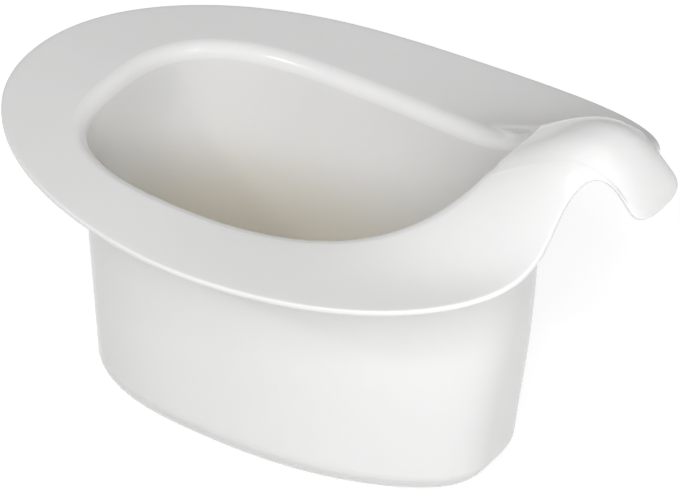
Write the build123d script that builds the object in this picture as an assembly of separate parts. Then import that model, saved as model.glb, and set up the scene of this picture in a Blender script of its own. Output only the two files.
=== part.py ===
from build123d import *
import math
import os

import numpy as np

# Training potty: one moulded bowl whose flat brim rises at the front into a splash guard.
# The guard arches over and ends in a hooked tongue to lift it by, and four soft grip pads
# are pressed into sockets under the base.
# Millimetres. +X points to the guard, +Z is up, and both sides of the XZ plane are alike.
# Lengths along X are measured from the middle of the bowl. The finished pieces are then moved
# so that the origin is on the floor, midway between the rear of the brim and the tongue's tip.

# Shell
wall = 3.0
seat_height = 158.0         # floor to the top of the flat brim

# Bowl, inside, where its wall would meet the level of the brim
bowl_front = 130.0
bowl_rear = 111.0
bowl_half_width = 61.5
bowl_widest = -20.0          # where along X the bowl is widest
brim_roll = 7.0             # radius from the wall over to the brim

# Degrees that the wall leans outwards on its way up
front_draft = 9.5
rear_draft = 1.6
side_draft = 1.8

upright_bend = 24.0         # height over which the lean fades, as the wall goes up into the guard

# Squareness of the bowl seen from above, where 2 is an ellipse, at the brim and at the floor
top_front_power = 1.9
top_rear_power = 2.7
foot_front_power = 4.3
foot_rear_power = 3.1

# Share of its width that the bowl loses on the way to its front end, at the brim and at the floor
top_taper = 0.13
foot_taper = 0.46

# Bend from the wall down to the floor of the bowl: how high it starts and how far in it ends
base_bend_height = 20.0
base_bend_front = 39.5
base_bend_rear = 33.0
base_bend_side = 27.0

# Free edge of the brim, seen from above
brim_front = 171.0
brim_rear = 162.0
brim_half_width = 107.5
brim_widest = 11.0
brim_front_power = 5.2
brim_rear_power = 2.05
brim_taper = 0.26
edge_round = 0.9            # radius on both corners of the free edge

# Tongue at the end of the guard, seen from above
tongue_reach = 205.5
tongue_half_width = 18.0
tongue_nose = 7.5           # length of its rounded end
tongue_nose_power = 2.8
tongue_waist = 9.0          # degrees that each side turns inwards on its way to the brim
finger_notch_radius = 23.0  # from the brim's edge out along the tongue

# Guard, seen from the side: its height over the brim along the middle line. The last four
# stations keep their distance from the tip of the tongue.
crest_foot = -32.0
crest_stations = (
    (55.0, 12.0),
    (100.0, 42.0),
    (tongue_reach - 67.5, 69.0),
    (tongue_reach - 40.5, 82.0),
    (tongue_reach - 20.5, 77.0),
    (tongue_reach, 53.0),
)

# Guard, seen from the front: the whole brim rises towards it, and its ridge stands on that rise.
# Both fall off to the sides, and halve at their own distance from the middle line.
front_rise = 34.5           # rise of the brim where it is longest
rise_half_width = 205.0
ridge_half_width_at_foot = 54.0
ridge_half_width_at_tip = 31.5
ridge_power = 2.7

# Grip pads
pad_radius = 8.0
pad_thickness = 2.2
pad_stand_out = 1.0
pad_clearance = 0.2
pad_round = 0.5
pad_front = 36.0
pad_rear = 58.0
pad_side = 13.0

# Gate mark of the moulding, in the middle of the underside
gate_well_radius = 5.0
gate_well_depth = 0.5
gate_nub_radius = 1.2
gate_nub_height = 0.3

# How finely the curved skins are drawn
nose_steps = 7
side_steps = 3
notch_steps = 6
front_steps = 24
rear_steps = 20
base_rings = 9
wall_rings = 5
roll_rings = 7
brim_rings = 12
edge_rings = 4

base_level = pad_stand_out
floor_level = base_level + wall


def oval(angle, middle, front, rear, half_width, front_power, rear_power, taper):
    """Points of an oval that is widest at its middle, with its own shape before and behind it."""
    cosine, sine = np.cos(angle), np.sin(angle)
    length = np.where(cosine < 0, rear + middle, front - middle)
    power = np.where(cosine < 0, rear_power, front_power)
    sum_of_powers = np.abs(cosine / length) ** power + np.abs(sine / half_width) ** power
    radius = sum_of_powers ** (-1 / power)
    way_to_front = np.maximum(radius * cosine / length, 0)
    width_kept = 1 - taper * way_to_front**2
    return np.column_stack([middle + radius * cosine, radius * sine * width_kept])


def brim_oval(angle):
    """Free edge of the brim seen from above, without the tongue."""
    return oval(
        angle, brim_widest, brim_front, brim_rear, brim_half_width,
        brim_front_power, brim_rear_power, brim_taper,
    )


def smooth_curve(stations):
    """Function of the cubic spline through the stations, level where it starts."""
    x = np.array([station[0] for station in stations])
    z = np.array([station[1] for station in stations])
    gap = np.diff(x)
    last = len(x) - 1
    system = np.zeros((last + 1, last + 1))
    load = np.zeros(last + 1)
    system[0, 0:2] = 2 * gap[0], gap[0]
    load[0] = 6 * (z[1] - z[0]) / gap[0]
    for i in range(1, last):
        system[i, i - 1 : i + 2] = gap[i - 1], 2 * (gap[i - 1] + gap[i]), gap[i]
        load[i] = 6 * ((z[i + 1] - z[i]) / gap[i] - (z[i] - z[i - 1]) / gap[i - 1])
    system[last, last] = 1
    bend = np.linalg.solve(system, load)

    def height(at):
        i = np.clip(np.searchsorted(x, at) - 1, 0, last - 1)
        ahead = (x[i + 1] - at) / gap[i]
        behind = (at - x[i]) / gap[i]
        sag = (ahead**3 - ahead) * bend[i] + (behind**3 - behind) * bend[i + 1]
        return ahead * z[i] + behind * z[i + 1] + gap[i] ** 2 / 6 * sag

    return height


crest = smooth_curve(((crest_foot, 0.0),) + crest_stations)


def halving(distance, half_width, power=2.0):
    """Share that is left of a height at a distance from its ridge."""
    return 0.5 ** ((np.abs(distance) / half_width) ** power)


def brim_height(plan):
    """Height of the upper skin at points seen from above."""
    x, y = plan[:, 0], plan[:, 1]
    past_foot = np.maximum(x - crest_foot, 0)
    rise = front_rise * (past_foot / (brim_front - crest_foot)) ** 2
    ridge = np.where(past_foot > 0, crest(crest_foot + past_foot), 0.0) - rise
    along = np.minimum(past_foot / (tongue_reach - crest_foot), 1)
    ridge_half_width = (
        ridge_half_width_at_foot + (ridge_half_width_at_tip - ridge_half_width_at_foot) * along
    )
    raised = rise * halving(y, rise_half_width)
    return seat_height + raised + ridge * halving(y, ridge_half_width, ridge_power)


def brim_slope(plan, direction):
    """Rise of the upper skin per millimetre in a plan direction."""
    step = 0.01
    return (brim_height(plan + direction * step) - brim_height(plan - direction * step)) / (2 * step)


def unit(vectors):
    return vectors / np.linalg.norm(vectors, axis=1)[:, None]


def along_ring(points):
    """Direction of a closed ring at each of its points."""
    return unit(np.roll(points, -1, axis=0) - np.roll(points, 1, axis=0))


def outward(plan):
    """Plan directions square to a closed ring, away from its middle."""
    direction = along_ring(plan)
    return np.column_stack([direction[:, 1], -direction[:, 0]])


def notch_start(corner, side_normal):
    """Angle on the brim's oval where the finger notch begins, its centre and its first point."""
    angle = np.linspace(0.01, math.pi / 2, 2000)
    edge = brim_oval(angle)
    tangent = unit(np.gradient(edge, axis=0))
    centres = edge + finger_notch_radius * np.column_stack([tangent[:, 1], -tangent[:, 0]])
    start = int(np.argmax((centres - corner) @ side_normal > finger_notch_radius))
    return angle[start], centres[start], edge[start]


def half_brim_outline():
    """Free edge seen from above, from the tip of the tongue round to the rear, on the +Y side."""
    turn = np.linspace(0, math.pi / 2, nose_steps)
    nose = np.column_stack([
        tongue_reach - tongue_nose + tongue_nose * np.cos(turn) ** (2 / tongue_nose_power),
        tongue_half_width * np.sin(turn) ** (2 / tongue_nose_power),
    ])
    waist = math.radians(tongue_waist)
    side_normal = np.array([-math.sin(waist), math.cos(waist)])
    start_angle, centre, start = notch_start(nose[-1], side_normal)
    side = np.linspace(nose[-1], centre - finger_notch_radius * side_normal, side_steps + 2)[1:-1]
    first = math.atan2(start[1] - centre[1], start[0] - centre[0]) % (2 * math.pi)
    sweep = np.linspace(1.5 * math.pi + waist, first, notch_steps)
    notch = centre + finger_notch_radius * np.column_stack([np.cos(sweep), np.sin(sweep)])
    front = np.linspace(start_angle, math.pi / 2, front_steps + 1)[1:]
    rear = np.linspace(math.pi / 2, math.pi, rear_steps + 1)[1:]
    return np.vstack([nose, side, notch, brim_oval(np.append(front, rear))])


half_outline = half_brim_outline()
half_outline[0, 1] = half_outline[-1, 1] = 0
mirrored = half_outline[-2:0:-1] * (1, -1)
brim_outline = np.vstack([half_outline, mirrored])

# Every ring has a point for each point of the outline, at the same share of the way round
steps_round = np.linalg.norm(np.roll(brim_outline, -1, axis=0) - brim_outline, axis=1)
ring_shares = np.append(0, np.cumsum(steps_round)) / steps_round.sum()
edge_angles = np.arctan2(brim_outline[:, 1], brim_outline[:, 0]) % (2 * math.pi)
angles = (edge_angles + 2 * math.pi * ring_shares[:-1]) / 2


def tangent_of(degrees):
    return math.tan(math.radians(degrees))


def depth_of_lean(level):
    """Depth under the brim, eased off to nothing above it, where the wall stands upright."""
    below = seat_height - level
    return (below + np.hypot(below, upright_bend)) / 2


def wall_plan(level):
    """Bowl wall seen from above, at a level that may differ from point to point."""
    below = depth_of_lean(level)
    foot_share = below / (seat_height - floor_level)
    return oval(
        angles,
        bowl_widest,
        bowl_front - below * tangent_of(front_draft),
        bowl_rear - below * tangent_of(rear_draft),
        bowl_half_width - below * tangent_of(side_draft),
        top_front_power + (foot_front_power - top_front_power) * foot_share,
        top_rear_power + (foot_rear_power - top_rear_power) * foot_share,
        top_taper + (foot_taper - top_taper) * foot_share,
    )


def floor_plan():
    """Edge of the flat floor of the bowl seen from above."""
    depth = seat_height - floor_level
    return oval(
        angles,
        bowl_widest,
        bowl_front - depth * tangent_of(front_draft) - base_bend_front,
        bowl_rear - depth * tangent_of(rear_draft) - base_bend_rear,
        bowl_half_width - depth * tangent_of(side_draft) - base_bend_side,
        foot_front_power,
        foot_rear_power,
        foot_taper,
    )


def base_ring(turn):
    """Ring of the bend between floor and wall: 0 at the floor, a quarter turn at the wall."""
    level = floor_level + base_bend_height * (1 - math.cos(turn))
    plan = floor_plan() + (wall_plan(level) - floor_plan()) * math.sin(turn)
    return np.column_stack([plan, np.full(len(plan), level)])


def wall_ring(level):
    return np.column_stack([wall_plan(level), level])


def normals_between(below, ring, above):
    """Directions into the bowl, square to the skin that runs through three rings close together."""
    return unit(np.cross(above - below, along_ring(ring)))


def brim_normals(ring):
    plan = ring[:, :2]
    rise_x = brim_slope(plan, np.array([1.0, 0.0]))
    rise_y = brim_slope(plan, np.array([0.0, 1.0]))
    return unit(np.column_stack([-rise_x, -rise_y, np.ones(len(ring))]))


def base_skin():
    """Rings and normals from the flat floor up to the foot of the wall."""
    step = 0.001
    rings = []
    for turn in np.linspace(0, math.pi / 2, base_rings):
        ring = base_ring(turn)
        rings.append((ring, normals_between(base_ring(turn - step), ring, base_ring(turn + step))))
    return rings


def wall_skin(top_level):
    """Rings and normals up the wall, from the base bend to the roll."""
    foot_level = np.full(len(top_level), floor_level + base_bend_height)
    step = 0.01
    rings = []
    for share in np.linspace(0, 1, wall_rings):
        level = foot_level + (top_level - foot_level) * share
        ring = wall_ring(level)
        rings.append((ring, normals_between(wall_ring(level - step), ring, wall_ring(level + step))))
    return rings


def roll_ring(top_level, share):
    """Ring of the roll from the wall over to the brim: 0 at the wall and 1 at the brim."""
    step = 0.01
    out = outward(wall_plan(np.full(len(top_level), seat_height)))
    top = wall_plan(top_level)
    rise = (wall_plan(top_level + step) - wall_plan(top_level - step)) / (2 * step)
    wall_lean = np.arctan(np.sum(rise * out, axis=1))
    centre = top + out * (brim_roll * np.cos(wall_lean))[:, None]
    centre_level = top_level - brim_roll * np.sin(wall_lean)
    slope = np.zeros(len(top_level))
    for _ in range(30):
        touch = centre - out * (brim_roll * np.sin(slope))[:, None]
        slope = (slope + np.arctan(brim_slope(touch, out))) / 2
    lean = wall_lean + share * (math.pi / 2 - slope - wall_lean)
    plan = centre - out * (brim_roll * np.cos(lean))[:, None]
    ring = np.column_stack([plan, centre_level + brim_roll * np.sin(lean)])
    profile = np.column_stack([out * np.sin(lean)[:, None], np.cos(lean)])
    return ring, profile


def roll_start_level():
    """Level where the wall gives way to the roll, so that the roll meets the brim."""
    level = np.full(len(angles), seat_height - brim_roll)
    for _ in range(40):
        ring, _ = roll_ring(level, 1)
        level = level + (brim_height(ring[:, :2]) - ring[:, 2]) * 0.7
    return level


def roll_skin(top_level):
    """Rings and normals of the roll from the wall over to the brim."""
    rings = []
    for share in np.linspace(0, 1, roll_rings):
        ring, profile = roll_ring(top_level, share)
        rings.append((ring, unit(np.cross(profile, along_ring(ring)))))
    return rings


def brim_skin(start_ring):
    """Rings and normals over the brim and guard, from the roll to the free edge."""
    start = start_ring[0][:, :2]
    end = brim_outline - outward(brim_outline) * edge_round
    rings = []
    for share in np.linspace(0, 1, brim_rings):
        plan = start + (end - start) * share
        ring = np.column_stack([plan, brim_height(plan)])
        rings.append((ring, brim_normals(ring)))
    return rings


def closed_wire(ring):
    points = [tuple(float(value) for value in point) for point in ring]
    shares = [float(share) for share in ring_shares]
    return Wire([Edge.make_spline(points, periodic=True, parameters=shares)])


def free_edge(upper, upper_normals, lower):
    """Wires of the two rounded corners of the free edge."""
    side = unit(np.cross(along_ring(upper), upper_normals))
    corner = np.linspace(0, math.pi / 2, edge_rings)
    top_centre = upper - upper_normals * edge_round
    bottom_centre = lower + upper_normals * edge_round
    top = [
        top_centre + edge_round * (upper_normals * math.cos(turn) + side * math.sin(turn))
        for turn in corner
    ]
    bottom = [
        bottom_centre + edge_round * (side * math.cos(turn) - upper_normals * math.sin(turn))
        for turn in corner
    ]
    return top, bottom


def skin(wires, ruled=False):
    return Shell.make_loft(wires, ruled=ruled).faces()


def wires_of(rings):
    return [closed_wire(ring) for ring, _ in rings]


def far_side(rings):
    """The same rings on the other side of the wall."""
    return [(ring - normals * wall, normals) for ring, normals in rings]


def make_shell():
    """Closed shell of the pot, from the floor of the bowl over the brim and back underneath."""
    top_level = roll_start_level()
    sections = [base_skin(), wall_skin(top_level), roll_skin(top_level)]
    sections.append(brim_skin(sections[-1][-1]))
    under_sections = [far_side(section) for section in sections]
    upper, upper_normals = sections[-1][-1]
    lower, _ = under_sections[-1][-1]
    top_corner, bottom_corner = free_edge(upper, upper_normals, lower)
    faces = []
    for chain in (sections, under_sections):
        wires = [wires_of(section) for section in chain]
        for before, after in zip(wires, wires[1:]):
            after[0] = before[-1]
        faces.append(Face(wires[0][0]))
        for section in wires:
            faces += skin(section)
        if chain is sections:
            upper_wire = wires[-1][-1]
        else:
            lower_wire = wires[-1][-1]
    top_edge = [upper_wire] + [closed_wire(ring) for ring in top_corner[1:]]
    bottom_edge = [closed_wire(ring) for ring in bottom_corner[:-1]] + [lower_wire]
    faces += skin(top_edge) + skin(bottom_edge)
    faces += skin([top_edge[-1], bottom_edge[0]], ruled=True)
    return Solid(Shell(faces))


def pad_places():
    return [
        (name, Pos(x, side * pad_side, 0))
        for name, x, side in (
            ("grip_pad_front_left", pad_front, 1),
            ("grip_pad_front_right", pad_front, -1),
            ("grip_pad_rear_left", -pad_rear, 1),
            ("grip_pad_rear_right", -pad_rear, -1),
        )
    ]


def disc(radius, low, high):
    return Pos(0, 0, low) * Cylinder(
        radius, high - low, align=(Align.CENTER, Align.CENTER, Align.MIN)
    )


def make_pot():
    sockets = [place * disc(pad_radius + pad_clearance, 0, pad_thickness) for _, place in pad_places()]
    gate_top = base_level + gate_well_depth
    gate_well = disc(gate_well_radius, 0, gate_top)
    gate_nub = disc(gate_nub_radius, gate_top - gate_nub_height, gate_top + wall / 2)
    pot = make_shell() - (sockets + [gate_well]) + gate_nub
    return pot.solid()


def make_grip_pad():
    pad = disc(pad_radius, 0, pad_thickness)
    rim = pad.edges().filter_by(GeomType.CIRCLE).sort_by(Axis.Z)[0]
    return fillet(rim, pad_round)


to_origin = Pos((brim_rear - tongue_reach) / 2, 0, 0)
os.makedirs("parts", exist_ok=True)
export_step(to_origin * make_pot(), "parts/pot.step")
grip_pad = make_grip_pad()
for pad_name, pad_place in pad_places():
    export_step(to_origin * pad_place * grip_pad, f"parts/{pad_name}.step")
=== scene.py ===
import math

import bmesh
import bpy
from mathutils import Matrix, Vector

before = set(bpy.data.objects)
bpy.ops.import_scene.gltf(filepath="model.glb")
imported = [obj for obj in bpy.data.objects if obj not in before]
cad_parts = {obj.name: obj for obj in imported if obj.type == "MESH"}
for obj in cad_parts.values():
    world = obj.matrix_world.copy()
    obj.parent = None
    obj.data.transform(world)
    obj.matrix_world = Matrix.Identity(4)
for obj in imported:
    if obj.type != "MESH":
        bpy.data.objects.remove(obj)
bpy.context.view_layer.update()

# Camera of the photograph: a long lens, above and in front of the pot's right side
IMAGE_WIDTH_PIXELS = 680
SENSOR_WIDTH_MM = 36.0
CAMERA_AZIMUTH = 36.12          # degrees, from a look along +Y towards a look along -X
CAMERA_ELEVATION = 37.43
CAMERA_ROLL = math.radians(-1.908)
CAMERA_DISTANCE = 2.94
PIXELS_PER_METRE = 2109.0       # at the point that the camera is aimed at
POT_MIDDLE = Vector((0.06225, 0.0, 0.137))
AIM_OFFSET_RIGHT = -0.05134
AIM_OFFSET_UP = 0.00164

# White plastic: its two clouded shades, and the same two tinted ivory as painted shade for
# low in the bowl
PLASTIC_SHADES = (0.825, 0.821, 0.811), (0.84, 0.836, 0.826)
PAINTED_SHADE_COLOURS = (0.825, 0.78, 0.69), (0.84, 0.795, 0.705)
PLASTIC_ROUGHNESS = 0.16, 0.20
PLASTIC_IOR = 1.49
GLOW_DEPTH = (0.008, 0.0072, 0.0064)    # how far red, green and blue light spread in it
RIPPLE_HEIGHT = 0.00015
MOULD_GRAIN_HEIGHT = 0.0000015

# Painted shade: low in the bowl the plastic is tinted a warm ivory in place of the shade and
# warm bounce light there; heights where that starts and where it is full
BOWL_MIDDLE = (-0.037, 0.0, 0.1)
PAINTED_SHADE_TOP = 0.115
PAINTED_SHADE_FULL = 0.055

# Grip pads
RUBBER_SHADES = (0.46, 0.46, 0.45), (0.52, 0.52, 0.50)
RUBBER_ROUGHNESS = 0.6, 0.8
RUBBER_GRAIN_HEIGHT = 0.00005

# Studio
FLOOR_HALF_WIDTH = 6.0
FLOOR_GAP = 0.0002              # keeps the floor just under the grip pads
FLOOR_GREY = (0.42, 0.42, 0.42, 1.0)
FLOOR_LIFT = 0.78               # light that the camera sees on top of the lit grey
WHITE = (1.0, 1.0, 1.0, 1.0)
FILL_STRENGTH = 0.3
LAMP_DISTANCE = 2.4


def direction(azimuth, elevation):
    """Unit vector from the pot towards a place at this azimuth and elevation, in degrees."""
    turn, rise = math.radians(azimuth), math.radians(elevation)
    level = math.cos(rise)
    return Vector((math.sin(turn) * level, -math.cos(turn) * level, math.sin(rise)))


def place_camera():
    back = direction(CAMERA_AZIMUTH, CAMERA_ELEVATION)
    turn = math.radians(CAMERA_AZIMUTH)
    level_right = Vector((math.cos(turn), math.sin(turn), 0.0))
    level_up = back.cross(level_right)
    right = level_right * math.cos(CAMERA_ROLL) + level_up * math.sin(CAMERA_ROLL)
    up = level_up * math.cos(CAMERA_ROLL) - level_right * math.sin(CAMERA_ROLL)
    aim = POT_MIDDLE + right * AIM_OFFSET_RIGHT + up * AIM_OFFSET_UP
    lens = bpy.data.cameras.new("photo_lens")
    lens.sensor_width = SENSOR_WIDTH_MM
    lens.lens = PIXELS_PER_METRE * CAMERA_DISTANCE * SENSOR_WIDTH_MM / IMAGE_WIDTH_PIXELS
    camera = bpy.data.objects.new("photo_camera", lens)
    bpy.context.scene.collection.objects.link(camera)
    facing = Matrix((right, up, back)).transposed().to_4x4()
    camera.matrix_world = Matrix.Translation(aim + back * CAMERA_DISTANCE) @ facing
    bpy.context.scene.camera = camera


def empty_material(name):
    """A node material that holds only its output."""
    material = bpy.data.materials.new(name)
    material.use_nodes = True
    tree = material.node_tree
    tree.nodes.clear()
    output = tree.nodes.new("ShaderNodeOutputMaterial")
    return material, tree, output


def moulded_finish(name):
    """A material with the shader of a moulded piece."""
    material, tree, output = empty_material(name)
    shader = tree.nodes.new("ShaderNodeBsdfPrincipled")
    tree.links.new(shader.outputs["BSDF"], output.inputs["Surface"])
    return material, tree, shader


def noise(tree, per_metre, detail):
    """Noise over the piece's own coordinates."""
    place = tree.nodes.new("ShaderNodeTexCoord")
    texture = tree.nodes.new("ShaderNodeTexNoise")
    texture.inputs["Scale"].default_value = per_metre
    texture.inputs["Detail"].default_value = detail
    texture.inputs["Roughness"].default_value = 0.5
    tree.links.new(place.outputs["Object"], texture.inputs["Vector"])
    return texture.outputs["Fac"]


def shade_between(tree, factor, shades):
    """Colour that goes from the first shade to the second over the middle of the factor."""
    ramp = tree.nodes.new("ShaderNodeValToRGB")
    for element, position, shade in zip(ramp.color_ramp.elements, (0.35, 0.65), shades):
        element.position = position
        element.color = (*shade, 1.0)
    tree.links.new(factor, ramp.inputs["Fac"])
    return ramp.outputs["Color"]


def number_between(tree, factor, ends):
    """Number that goes from one end to the other over the middle of the factor."""
    spread = tree.nodes.new("ShaderNodeMapRange")
    spread.inputs["From Min"].default_value = 0.3
    spread.inputs["From Max"].default_value = 0.7
    spread.inputs["To Min"].default_value = ends[0]
    spread.inputs["To Max"].default_value = ends[1]
    tree.links.new(factor, spread.inputs["Value"])
    return spread.outputs["Result"]


def bump(tree, pattern, height, under=None):
    """Bump of a pattern, on top of another bump where one is given."""
    node = tree.nodes.new("ShaderNodeBump")
    node.inputs["Distance"].default_value = height
    node.inputs["Strength"].default_value = 1.0
    tree.links.new(pattern, node.inputs["Height"])
    if under is not None:
        tree.links.new(under, node.inputs["Normal"])
    return node.outputs["Normal"]


def arithmetic(tree, operation, first, second):
    """A math node whose first input is linked and whose second is linked or a number."""
    node = tree.nodes.new("ShaderNodeMath")
    node.operation = operation
    tree.links.new(first, node.inputs[0])
    if isinstance(second, float):
        node.inputs[1].default_value = second
    else:
        tree.links.new(second, node.inputs[1])
    return node.outputs["Value"]


def painted_shade_low_in_bowl(tree):
    """Mask of the painted shade: 1 on the inner faces low in the bowl, fading to 0 up its
    walls and 0 on outer faces.
    """
    place = tree.nodes.new("ShaderNodeTexCoord")
    from_middle = tree.nodes.new("ShaderNodeVectorMath")
    from_middle.operation = "SUBTRACT"
    from_middle.inputs[1].default_value = BOWL_MIDDLE
    tree.links.new(place.outputs["Object"], from_middle.inputs[0])
    outwards = tree.nodes.new("ShaderNodeVectorMath")
    outwards.operation = "DOT_PRODUCT"
    tree.links.new(from_middle.outputs["Vector"], outwards.inputs[0])
    tree.links.new(place.outputs["Normal"], outwards.inputs[1])
    inner = arithmetic(tree, "LESS_THAN", outwards.outputs["Value"], 0.0)
    parts = tree.nodes.new("ShaderNodeSeparateXYZ")
    tree.links.new(place.outputs["Object"], parts.inputs["Vector"])
    fade = tree.nodes.new("ShaderNodeMapRange")
    fade.interpolation_type = "SMOOTHSTEP"
    fade.inputs["From Min"].default_value = PAINTED_SHADE_TOP
    fade.inputs["From Max"].default_value = PAINTED_SHADE_FULL
    tree.links.new(parts.outputs["Z"], fade.inputs["Value"])
    return arithmetic(tree, "MULTIPLY", inner, fade.outputs["Result"])


def white_moulded_plastic():
    """Satin white polypropylene: faint clouding, a soft gloss, the ripple of the mould, and
    painted shade in a warm ivory low in the bowl.
    """
    material, tree, shader = moulded_finish("white_moulded_plastic")
    clouding = noise(tree, per_metre=9.0, detail=2.0)
    colour = tree.nodes.new("ShaderNodeMixRGB")
    # Painted shade: the inner faces low in the bowl turn ivory in place of the shade and warm
    # bounce light there
    tree.links.new(painted_shade_low_in_bowl(tree), colour.inputs["Fac"])
    tree.links.new(shade_between(tree, clouding, PLASTIC_SHADES), colour.inputs["Color1"])
    tree.links.new(shade_between(tree, clouding, PAINTED_SHADE_COLOURS), colour.inputs["Color2"])
    tree.links.new(colour.outputs["Color"], shader.inputs["Base Color"])
    rubbed = noise(tree, per_metre=30.0, detail=2.0)
    roughness = number_between(tree, rubbed, PLASTIC_ROUGHNESS)
    tree.links.new(roughness, shader.inputs["Roughness"])
    ripple = bump(tree, noise(tree, per_metre=9.0, detail=0.0), RIPPLE_HEIGHT)
    fine = noise(tree, per_metre=700.0, detail=1.0)
    grain = bump(tree, fine, MOULD_GRAIN_HEIGHT, under=ripple)
    tree.links.new(grain, shader.inputs["Normal"])
    shader.inputs["IOR"].default_value = PLASTIC_IOR
    shader.inputs["Subsurface Weight"].default_value = 0.5
    shader.inputs["Subsurface Radius"].default_value = GLOW_DEPTH
    shader.inputs["Subsurface Scale"].default_value = 1.0
    return material


def soft_grip_rubber():
    """Matt light grey rubber with a fine grain."""
    material, tree, shader = moulded_finish("soft_grip_rubber")
    clouding = noise(tree, per_metre=90.0, detail=3.0)
    colour = shade_between(tree, clouding, RUBBER_SHADES)
    tree.links.new(colour, shader.inputs["Base Color"])
    grain = noise(tree, per_metre=2500.0, detail=3.0)
    roughness = number_between(tree, grain, RUBBER_ROUGHNESS)
    tree.links.new(roughness, shader.inputs["Roughness"])
    tree.links.new(bump(tree, grain, RUBBER_GRAIN_HEIGHT), shader.inputs["Normal"])
    return material


def dress(node, material):
    """Gives a CAD piece its finish."""
    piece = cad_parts[node]
    piece.data.materials.clear()
    piece.data.materials.append(material)


def studio_white():
    """White that stays white to the camera and still takes the pot's shadow."""
    material, tree, output = empty_material("studio_floor_white")
    diffuse = tree.nodes.new("ShaderNodeBsdfDiffuse")
    diffuse.inputs["Color"].default_value = FLOOR_GREY
    glow = tree.nodes.new("ShaderNodeEmission")
    glow.inputs["Color"].default_value = WHITE
    rays = tree.nodes.new("ShaderNodeLightPath").outputs
    seen = arithmetic(tree, "MAXIMUM", rays["Is Camera Ray"], rays["Is Glossy Ray"])
    lift = arithmetic(tree, "MULTIPLY", seen, FLOOR_LIFT)
    tree.links.new(lift, glow.inputs["Strength"])
    both = tree.nodes.new("ShaderNodeAddShader")
    tree.links.new(diffuse.outputs["BSDF"], both.inputs[0])
    tree.links.new(glow.outputs["Emission"], both.inputs[1])
    tree.links.new(both.outputs["Shader"], output.inputs["Surface"])
    return material


def make_floor():
    mesh = bpy.data.meshes.new("studio_floor")
    sheet = bmesh.new()
    bmesh.ops.create_grid(sheet, x_segments=1, y_segments=1, size=FLOOR_HALF_WIDTH)
    bmesh.ops.translate(sheet, verts=sheet.verts, vec=(0.0, 0.0, -FLOOR_GAP))
    sheet.to_mesh(mesh)
    sheet.free()
    floor = bpy.data.objects.new("studio_floor", mesh)
    bpy.context.scene.collection.objects.link(floor)
    mesh.materials.append(studio_white())


def make_world():
    """White air that lights the pot softly, and is plain white where the camera sees it."""
    world = bpy.data.worlds.new("studio_air")
    world.use_nodes = True
    tree = world.node_tree
    tree.nodes.clear()
    output = tree.nodes.new("ShaderNodeOutputWorld")
    mix = tree.nodes.new("ShaderNodeMixShader")
    for socket, strength in (1, FILL_STRENGTH), (2, 1.0):
        air = tree.nodes.new("ShaderNodeBackground")
        air.inputs["Color"].default_value = WHITE
        air.inputs["Strength"].default_value = strength
        tree.links.new(air.outputs["Background"], mix.inputs[socket])
    rays = tree.nodes.new("ShaderNodeLightPath")
    tree.links.new(rays.outputs["Is Camera Ray"], mix.inputs["Fac"])
    tree.links.new(mix.outputs["Shader"], output.inputs["Surface"])
    bpy.context.scene.world = world


def softbox(name, azimuth, elevation, size, watts, mirrored=True):
    """Square area lamp that faces the pot. One that isn't mirrored leaves no highlight."""
    lamp = bpy.data.lights.new(name, "AREA")
    lamp.shape = "SQUARE"
    lamp.size = size
    lamp.energy = watts
    holder = bpy.data.objects.new(name, lamp)
    bpy.context.scene.collection.objects.link(holder)
    towards = direction(azimuth, elevation)
    holder.location = POT_MIDDLE + towards * LAMP_DISTANCE
    holder.rotation_euler = towards.to_track_quat("Z", "Y").to_euler()
    holder.visible_glossy = mirrored


place_camera()
plastic = white_moulded_plastic()
rubber = soft_grip_rubber()
for node_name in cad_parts:
    if node_name.startswith("grip_pad"):
        dress(node_name, rubber)
    else:
        dress(node_name, plastic)
make_floor()
make_world()
softbox("front_softbox", azimuth=26.0, elevation=36.0, size=1.2, watts=42.0, mirrored=False)
softbox("side_softbox", azimuth=80.0, elevation=8.0, size=0.5, watts=14.0, mirrored=False)
softbox("left_window", azimuth=-27.0, elevation=40.0, size=0.15, watts=5.0)
softbox("right_window", azimuth=42.0, elevation=50.0, size=0.15, watts=5.0)
bpy.context.scene.view_settings.view_transform = "Standard"
